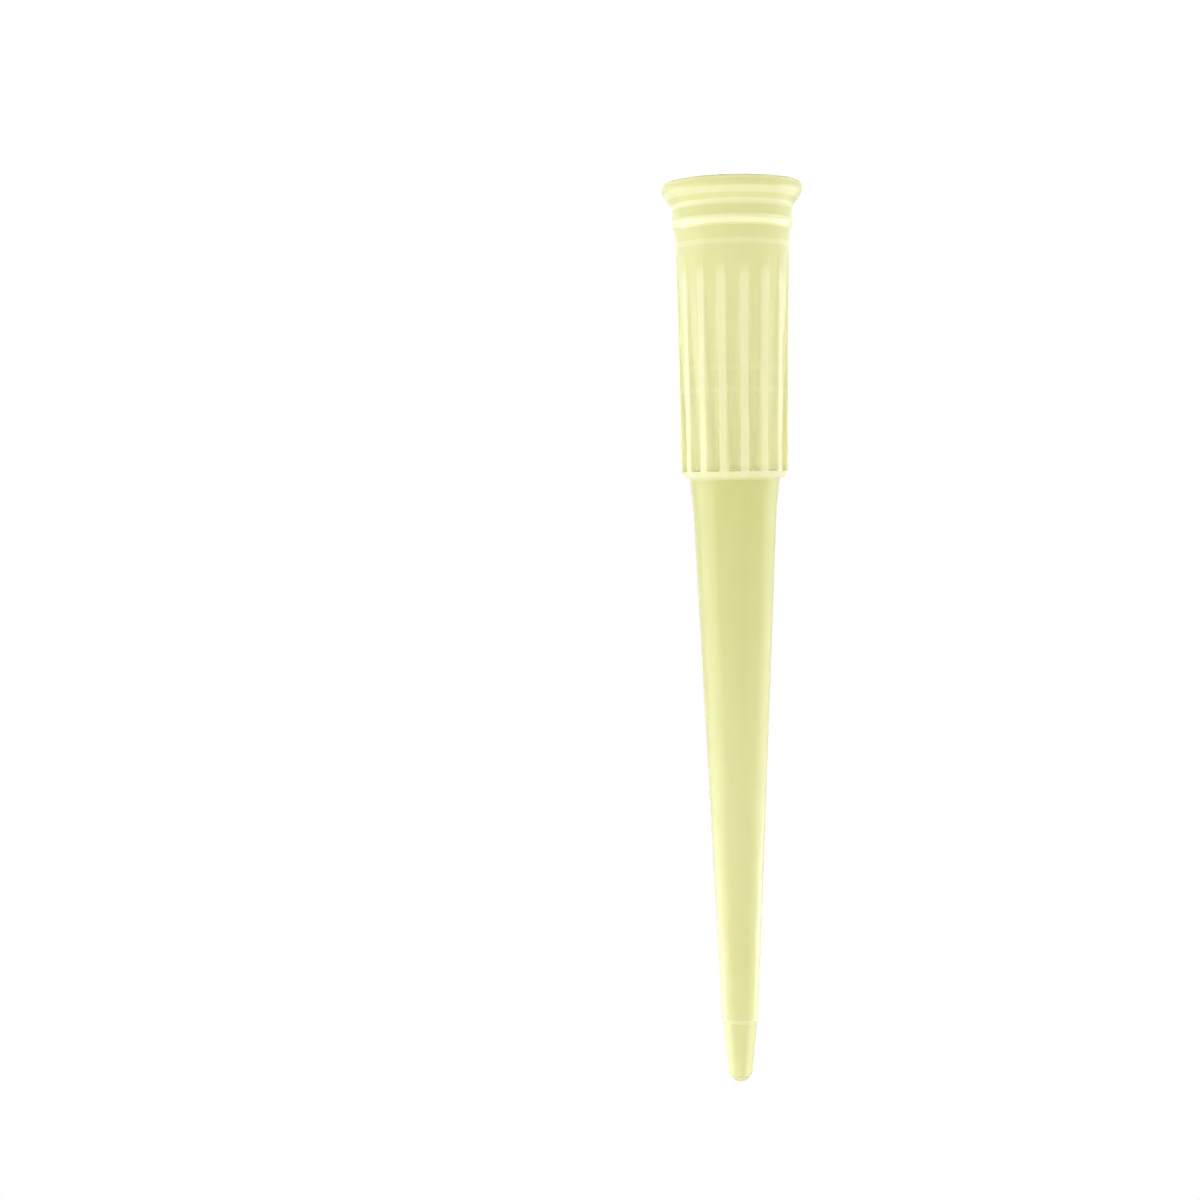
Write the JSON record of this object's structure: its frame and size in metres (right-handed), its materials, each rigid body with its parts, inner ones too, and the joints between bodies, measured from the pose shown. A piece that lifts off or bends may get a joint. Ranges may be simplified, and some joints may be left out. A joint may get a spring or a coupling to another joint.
{
  "type": "pipette tip",
  "caption": "Long hollow conical plastic tip with a flanged socket mouth, a ribbed collar with a rack shoulder, and a fine open point.",
  "frame": {"origin": "centre of the mouth, in the plane of the rim that the tip stands on", "axes": "+Z along the tip's axis from the mouth to the point; the ribs are spaced evenly about it, with a groove facing -Y"},
  "size_m": [0.0078, 0.0078, 0.05],
  "materials": {
    "tinted_polypropylene": "smooth moulded polypropylene, translucent pale yellow"
  },
  "bodies": {
    "root": {"pipette_tip": "tinted_polypropylene"}
  },
  "joints": []
}
